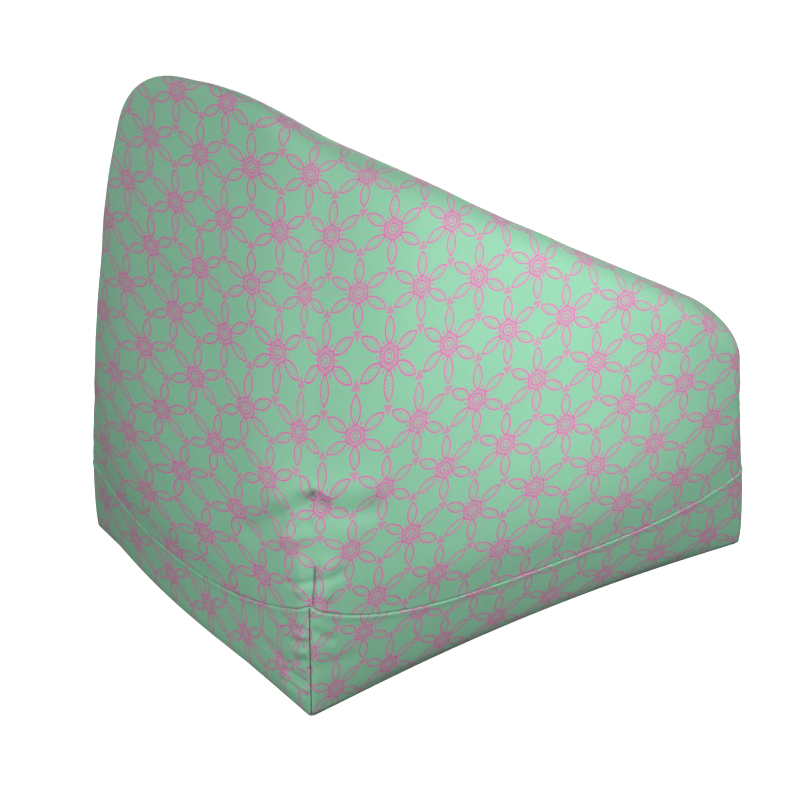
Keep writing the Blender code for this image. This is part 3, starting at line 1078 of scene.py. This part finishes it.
@dataclass
class BandStrip:
    """One strip of the base band: a sheet with a rolled top hem, sewn to its neighbours at the corners.

    The rows' three numbers are the first spacing under the hem, the largest and the growth.
    """

    wall: Wall
    name: str
    node: str
    cloth: bpy.types.Material
    fine: float = 0.0010
    coarse: float = 0.009
    growth: float = 1.10
    rows: tuple = (0.0006, 0.0045, 1.12)
    hem_roll: float = 0.0016
    hem_height: float = 0.0026
    hem_bulge: float = 0.0010
    end_roll: float = 0.0020
    end_run: float = 0.0022
    crease_start: float = 0.001
    crease_run: float = 0.007
    thickness: float = CLOTH
    cut_width: float = 0.125

    @property
    def length(self) -> float:
        """Length of the strip at the floor."""
        return DEPTH if self.wall in (Wall.NEAR_SIDE, Wall.FAR_SIDE) else WIDTH

    def build(self, rests_on: bpy.types.Object) -> bpy.types.Object:
        """Args:
            rests_on: The piece that it is stretched over. Not used.

        Returns:
            The piece.
        """
        trim = GAP / 2 / self.length
        shares = np.array(graded_both(self.length, self.fine, self.coarse, self.growth))
        turns = self.wall.value + trim + shares * (1 - 2 * trim)
        run = shares * self.length
        reach = CORNER_SEAM_HEIGHTS[NEAR_BACK]
        up = np.array([1 - place / reach for place in graded(reach, *self.rows)][::-1])
        outer = self.face(turns, run, up, 0.0)
        inner = self.face(turns, run, up[::-1], self.thickness)
        points = np.concatenate([outer, inner, outer[:1]])
        steps = np.linalg.norm(np.diff(outer, axis=0), axis=-1)
        height = np.concatenate([np.zeros((1, len(turns))), np.cumsum(steps, axis=0)])
        height = np.concatenate([height, height[::-1], height[:1]])
        prints = BAND_LAYS[self.wall].uv(np.broadcast_to(run, height.shape), height, self.length)
        bm = sew((points, prints))
        bmesh.ops.holes_fill(bm, edges=open_edges(bm))
        piece = close_up(self.name, bm, [self.cloth])
        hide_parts(self.node)
        return piece

    def face(self, turns: np.ndarray, run: np.ndarray, up: np.ndarray, inset: float) -> np.ndarray:
        """One face of the strip.

        Args:
            turns: Turns of the columns.
            run: Their places along the strip.
            up: Shares of the strip's height.
            inset: How far the face stands inside the cloth surface.

        Returns:
            Places by row and column.
        """
        tall = FORM.seam_height(turns)
        from_end = np.minimum(run, self.length - run)
        end = self.end_roll * (1 - np.sqrt(1 - (1 - np.clip(from_end / self.end_run, 0, 1))**2))
        rows = []
        for share in up:
            below = (1 - share) * tall
            close = 1 - np.clip(below / self.hem_height, 0, 1)
            hem = self.hem_roll * (1 - np.sqrt(1 - close**2))
            bulge = self.hem_bulge * np.exp(-((below - self.hem_height) / (2 * self.hem_height))**2)
            rows.append(FORM.band(turns, share, inset + hem + end - bulge))
        points = np.array(rows)
        rise = np.zeros(points.shape[:2])
        for fold in CREASES[self.wall]:
            from_corner = run - (self.length if fold.start_run < 0 else 0.0)
            rise += fold.rise(np.broadcast_to(from_corner, rise.shape), points[..., 2])
        rise *= smooth_share(from_end, self.crease_start, self.crease_run)
        normals = out_of(points if up[-1] > up[0] else points[::-1])
        normals = normals if up[-1] > up[0] else normals[::-1]
        return points + normals * rise[..., None]


@dataclass
class BasePanel:
    """The flat panel that the lounger stands on."""

    cloth: bpy.types.Material
    edge_round: float = 0.0008
    fine: float = 0.004
    coarse: float = 0.02
    growth: float = 1.25

    def build(self, rests_on: bpy.types.Object) -> bpy.types.Object:
        """Args:
            rests_on: The piece over it. Not used.

        Returns:
            The piece.
        """
        shares = graded_both(DEPTH, self.fine, self.coarse, self.growth)
        turns = np.array([wall + share for wall in range(4) for share in shares[:-1]] + [4.0])
        profile = ((0.0, self.edge_round), (self.edge_round, 0.0), (CLOTH - self.edge_round, 0.0),
                   (CLOTH, self.edge_round))
        points = np.array([np.stack([*FORM.outline(turns, 0.0, inset), np.full_like(turns, height)], axis=-1)
                           for height, inset in profile])
        bm = sew((points, points[..., :2]))
        rims = open_edges(bm)
        for upper in (False, True):
            rim = [edge for edge in rims if (edge.verts[0].co.z > CLOTH / 2) == upper]
            bmesh.ops.contextual_create(bm, geom=rim)
        layer = bm.loops.layers.uv["print"]
        for face in bm.faces:
            for loop in face.loops:
                loop[layer].uv = loop.vert.co.xy
        piece = close_up("base_cloth", bm, [self.cloth])
        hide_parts("base_panel")
        return piece


@dataclass(frozen=True)
class Softbox:
    """A square soft light that stands at one place and faces another, and that the camera doesn't see."""

    name: str
    place: tuple
    aim: tuple
    size: float
    power: float

    def build(self) -> None:
        """Add the light."""
        light = bpy.data.lights.new(self.name, "AREA")
        light.size, light.energy = self.size, self.power
        lamp = bpy.data.objects.new(self.name, light)
        lamp.location = self.place
        lamp.rotation_euler = (Vector(self.aim) - Vector(self.place)).to_track_quat("-Z", "Y").to_euler()
        lamp.visible_camera = False
        bpy.context.scene.collection.objects.link(lamp)


@dataclass
class Studio:
    """Pale floor, camera and soft lights. Metres, degrees and watts."""

    camera_place: tuple = (-1.15120, -1.55886, 0.99559)
    camera_azimuth: float = -35.724
    camera_elevation: float = 21.448
    lens: float = 58.5
    floor_half: float = 60.0
    floor_drop: float = 0.0002
    floor_colour: str = "#f4f4f2"
    floor_roughness: float = 0.9
    floor_glow: float = 1.0
    light_colour: str = "#ffffff"
    world_strength: float = 0.02
    sky_brightness: float = 1.0
    overhead_strength: float = 0.42
    overhead_height: float = 3.0
    softboxes: tuple = (
        Softbox("key_softbox", (0.08, -1.08, 0.66), (-0.01, -0.32, 0.42), 0.40, 6.6),
        Softbox("back_softbox", (-1.93, -0.78, 0.74), (-0.3, -0.1, 0.32), 1.00, 19.2),
        Softbox("far_softbox", (1.30, 1.70, 0.80), (0.1, 0.1, 0.35), 1.20, 16.0),
        Softbox("front_softbox", (2.00, -0.80, 0.75), (0.4, -0.1, 0.30), 1.00, 4.6),
        Softbox("left_softbox", (-1.30, 1.60, 0.80), (-0.3, 0.2, 0.40), 1.00, 2.4),
        Softbox("top_softbox", (-0.10, 0.00, 2.20), (-0.1, 0.0, 0.60), 1.20, 8.0),
    )

    def build(self) -> None:
        """Build the floor, the camera, the sky and the lights."""
        bpy.context.scene.view_settings.view_transform = "Standard"
        self.add_floor()
        self.add_camera()
        self.add_sky()
        for softbox in self.softboxes:
            softbox.build()
        self.add_overhead_scrim()

    def add_floor(self) -> None:
        """Add the floor in matt paint. It throws no light back up under the band."""
        bm = bmesh.new()
        bmesh.ops.create_grid(bm, x_segments=1, y_segments=1, size=self.floor_half)
        mesh = bpy.data.meshes.new("studio_floor")
        bm.to_mesh(mesh)
        bm.free()
        floor = bpy.data.objects.new("studio_floor", mesh)
        floor.location.z = -self.floor_drop
        bpy.context.scene.collection.objects.link(floor)
        paint = bpy.data.materials.new("matt_floor_paint")
        paint.use_nodes = True
        shader = paint.node_tree.nodes["Principled BSDF"]
        shader.inputs["Base Color"].default_value = srgb(self.floor_colour)
        shader.inputs["Roughness"].default_value = self.floor_roughness
        shader.inputs["Emission Color"].default_value = srgb(self.light_colour)
        shader.inputs["Emission Strength"].default_value = self.floor_glow
        mesh.materials.append(paint)
        floor.visible_diffuse = floor.visible_glossy = False

    def add_camera(self) -> None:
        """Add the camera and look through it."""
        lens = bpy.data.cameras.new("camera")
        lens.lens = self.lens
        camera = bpy.data.objects.new("camera", lens)
        camera.location = self.camera_place
        camera.rotation_euler = (pi / 2 - radians(self.camera_elevation), 0.0, radians(self.camera_azimuth))
        bpy.context.scene.collection.objects.link(camera)
        bpy.context.scene.camera = camera

    def add_sky(self) -> None:
        """Add a sky that is bright to look at, and dim as a light."""
        world = bpy.data.worlds.new("soft_sky")
        world.use_nodes = True
        tree = world.node_tree
        sky = tree.nodes["Background"]
        sky.inputs["Color"].default_value = srgb(self.light_colour)
        seen = add_node(tree, "ShaderNodeLightPath").outputs["Is Camera Ray"]
        strength = add_node(tree, "ShaderNodeMath", {"operation": "MULTIPLY_ADD"},
                            (seen, self.sky_brightness, self.world_strength)).outputs[0]
        tree.links.new(strength, sky.inputs["Strength"])
        bpy.context.scene.world = world

    def add_overhead_scrim(self) -> None:
        """Add the even light that comes from the whole sky."""
        light = bpy.data.lights.new("overhead_scrim", "SUN")
        light.angle, light.energy = pi, self.overhead_strength
        overhead = bpy.data.objects.new("overhead_scrim", light)
        overhead.location.z = self.overhead_height
        bpy.context.scene.collection.objects.link(overhead)


STRIP_NAMES = {
    Wall.BACK: ("back_band_strip", "band_back"),
    Wall.NEAR_SIDE: ("near_side_band_strip", "band_near_side"),
    Wall.FRONT: ("front_band_strip", "band_front"),
    Wall.FAR_SIDE: ("far_side_band_strip", "band_far_side"),
}


def main() -> None:
    """Build the lounger piece by piece."""
    logging.basicConfig(level=logging.INFO)
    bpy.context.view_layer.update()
    Studio().build()
    printed = PrintedCotton("printed_cotton_canvas").make()
    plain = PrintedCotton("plain_cotton_canvas", ground="#6f9f82", worn="#7aab8d", printed=False).make()
    cover = FilledCover(printed).build()
    pieces = [cover, BasePanel(plain).build(cover)]
    for wall, (name, node) in STRIP_NAMES.items():
        pieces.append(BandStrip(wall, name, node, printed).build(cover))
    for piece in pieces:
        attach(piece, "root")
        LOG.info("%s: %d vertices", piece.name, len(piece.data.vertices))


if __name__ == "__main__":
    main()
